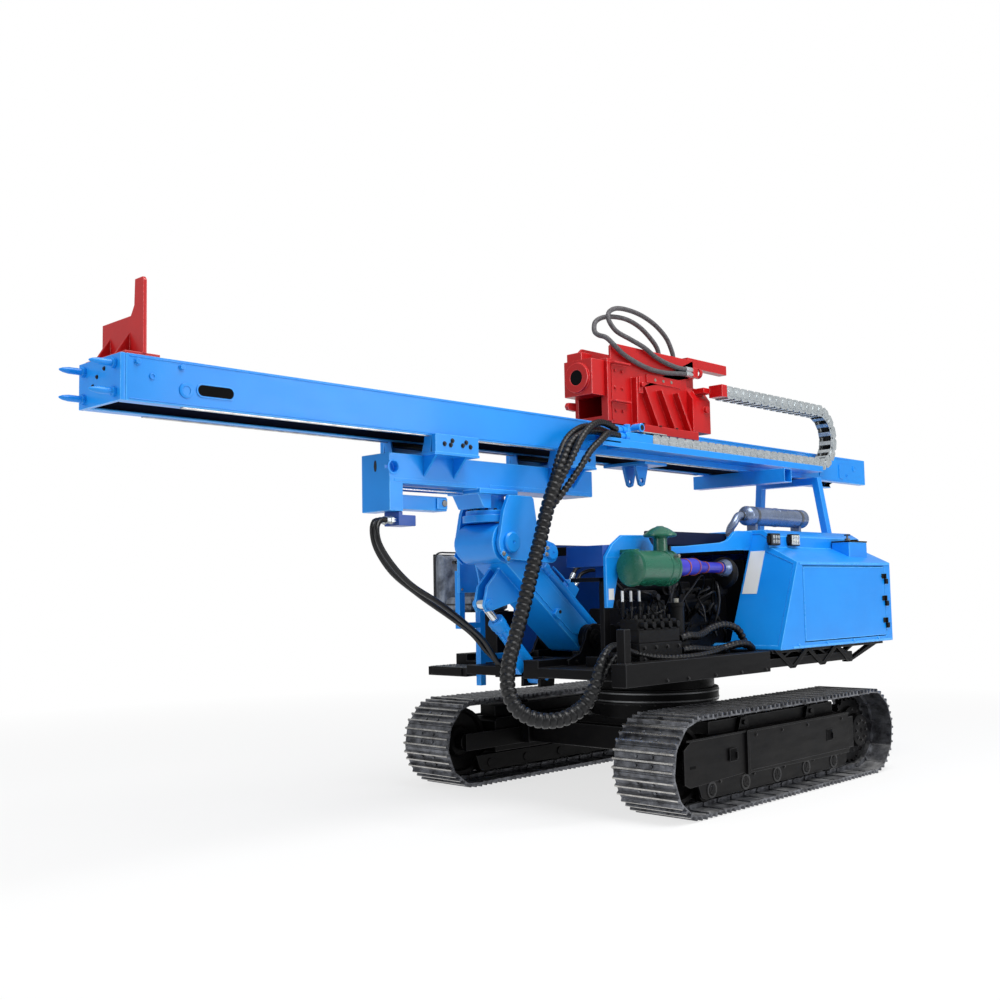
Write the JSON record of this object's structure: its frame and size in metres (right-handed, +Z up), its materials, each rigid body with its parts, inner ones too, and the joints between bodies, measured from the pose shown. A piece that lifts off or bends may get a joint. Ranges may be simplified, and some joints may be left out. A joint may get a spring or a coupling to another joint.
{
  "type": "tracked pile driver rig",
  "caption": "Tracked pile driver rig: a long channel mast on a boom with a tilt head, a sliding drive head with drag chain, and an open engine deck.",
  "frame": {"origin": "on the ground below the middle of the whole machine's box", "axes": "+Z up, the mast's foot end and the machine's front towards -Y, the machine's left side towards +X"},
  "size_m": [2.31, 7.426, 3.4065],
  "materials": {
    "blue_paint": "gloss paint over welded plate, light wear on edges",
    "red_paint": "gloss paint, light dust",
    "green_paint": "gloss paint",
    "chassis_black": "semi-gloss black paint, dusty",
    "track_steel": "worn steel shoes with bright grousers and dry dirt",
    "hose_rubber": "matt ribbed black hose",
    "intake_rubber": "smooth violet-blue silicone rubber",
    "muffler_steel": "grey heat-proof coating, scuffed",
    "bright_rod": "hard chrome rod",
    "pin_steel": "turned steel",
    "chain_zinc": "zinc-plated steel links",
    "seat_cover": "grey crumpled protective cover"
  },
  "bodies": {
    "undercarriage": {"track_left": "track_steel", "track_right": "track_steel", "track_frame_left": "chassis_black", "track_frame_right": "chassis_black", "idler_left": "chassis_black", "idler_right": "chassis_black", "sprocket_left": "chassis_black", "sprocket_right": "chassis_black", "car_body": "chassis_black", "slewing_ring": "chassis_black"},
    "upper": {"upper_frame": "chassis_black", "hood_deck": "chassis_black", "boom_bracket": "chassis_black", "engine_block": "chassis_black", "hood_strip": "blue_paint", "front_cabinet": "blue_paint", "bay_far_panel": "blue_paint", "bay_front_frame": "chassis_black", "rear_hood": "blue_paint", "radiator": "chassis_black", "muffler": "muffler_steel", "air_cleaner": "green_paint", "valve_bank": "chassis_black", "intake_hose": "intake_rubber", "console_panel": "blue_paint", "console_posts": "blue_paint", "foot_platform": "chassis_black", "seat_pedestal": "chassis_black", "seat_cushion": "seat_cover", "seat_back": "seat_cover", "mast_trestle": "blue_paint", "conduit": "hose_rubber", "tilt_foot_pin": "pin_steel", "valve_hose_left": "hose_rubber", "valve_hose_right": "hose_rubber"},
    "hood_door": {"hood_door": "blue_paint"},
    "boom": {"boom": "blue_paint"},
    "head_pin": {"head_pin": "pin_steel"},
    "lift_barrel": {"lift_barrel": "blue_paint"},
    "lift_rod": {"lift_rod": "bright_rod"},
    "tilt_barrel": {"tilt_barrel": "blue_paint"},
    "tilt_rod": {"tilt_rod": "bright_rod"},
    "tilt_head": {"tilt_head": "blue_paint"},
    "slide_frame": {"slide_frame": "blue_paint", "mast_clamp_front": "blue_paint", "mast_clamp_rear": "blue_paint", "slide_valve": "blue_paint"},
    "mast": {"mast_beam": "blue_paint", "mast_foot_plate": "blue_paint", "pile_guide": "red_paint", "chain_tray": "blue_paint", "drag_chain": "chain_zinc", "hose_bulkhead": "blue_paint", "mast_lugs": "blue_paint", "cross_tube": "blue_paint"},
    "drive_head": {"head_nose": "red_paint", "head_carriage": "red_paint", "motor_cover": "red_paint", "head_hose_outer": "hose_rubber", "head_hose_inner": "hose_rubber"}
  },
  "joints": [
    {"name": "slew", "type": "hinge", "parent": "undercarriage", "child": "upper", "pos_m": [0, 0.68, 0.66], "axis": [0, 0, 1], "continuous": true},
    {"name": "boom_lift", "type": "hinge", "parent": "upper", "child": "boom", "pos_m": [0, -0.233, 1.037], "axis": [-1, 0, 0], "range_deg": [0, 30], "deforming": ["conduit", "valve_hose_left", "valve_hose_right"]},
    {"name": "pin_level", "type": "hinge", "parent": "boom", "child": "head_pin", "pos_m": [0, -0.995, 1.656], "axis": [1, 0, 0], "range_deg": [0, 30]},
    {"name": "mast_tilt", "type": "hinge", "parent": "head_pin", "child": "tilt_head", "pos_m": [0, -0.995, 1.656], "axis": [1, 0, 0], "range_deg": [0, 90]},
    {"name": "lift_barrel_swing", "type": "hinge", "parent": "upper", "child": "lift_barrel", "pos_m": [0, -0.56, 0.8], "axis": [-1, 0, 0], "range_deg": [0, 30]},
    {"name": "lift_rod_slide", "type": "slide", "parent": "lift_barrel", "child": "lift_rod", "axis": [0, -0.7129, 0.7012], "range_m": [0, 0.22]},
    {"name": "tilt_barrel_swing", "type": "hinge", "parent": "upper", "child": "tilt_barrel", "pos_m": [0, 0.138, 0.978], "axis": [-1, 0, 0], "range_deg": [0, 30]},
    {"name": "tilt_rod_slide", "type": "slide", "parent": "tilt_barrel", "child": "tilt_rod", "axis": [0, -0.7762, 0.6305], "range_m": [0, 0.53]},
    {"name": "mast_swing", "type": "hinge", "parent": "tilt_head", "child": "slide_frame", "pos_m": [0, -0.985, 1.83], "axis": [0, 0, 1], "range_deg": [-15, 15]},
    {"name": "mast_slide", "type": "slide", "parent": "slide_frame", "child": "mast", "axis": [0, 1, 0], "range_m": [0, 0.7]},
    {"name": "head_slide", "type": "slide", "parent": "mast", "child": "drive_head", "axis": [0, 1, 0], "range_m": [-3, 1.9], "deforming": ["drag_chain"]},
    {"name": "hood_door_swing", "type": "hinge", "parent": "upper", "child": "hood_door", "pos_m": [0.964, 2.447, 1.23], "axis": [0, 0, 1], "range_deg": [0, 110]}
  ],
  "couplings": [
    {"joint": "pin_level", "follows": "boom_lift", "ratio": 1},
    {"joint": "lift_barrel_swing", "follows": "boom_lift", "ratio": 0.95739},
    {"joint": "lift_rod_slide", "follows": "boom_lift", "m_per_rad": 0.39787},
    {"joint": "tilt_barrel_swing", "follows": "boom_lift", "ratio": 1},
    {"joint": "tilt_rod_slide", "follows": "mast_tilt", "m_per_rad": 0.33076}
  ]
}
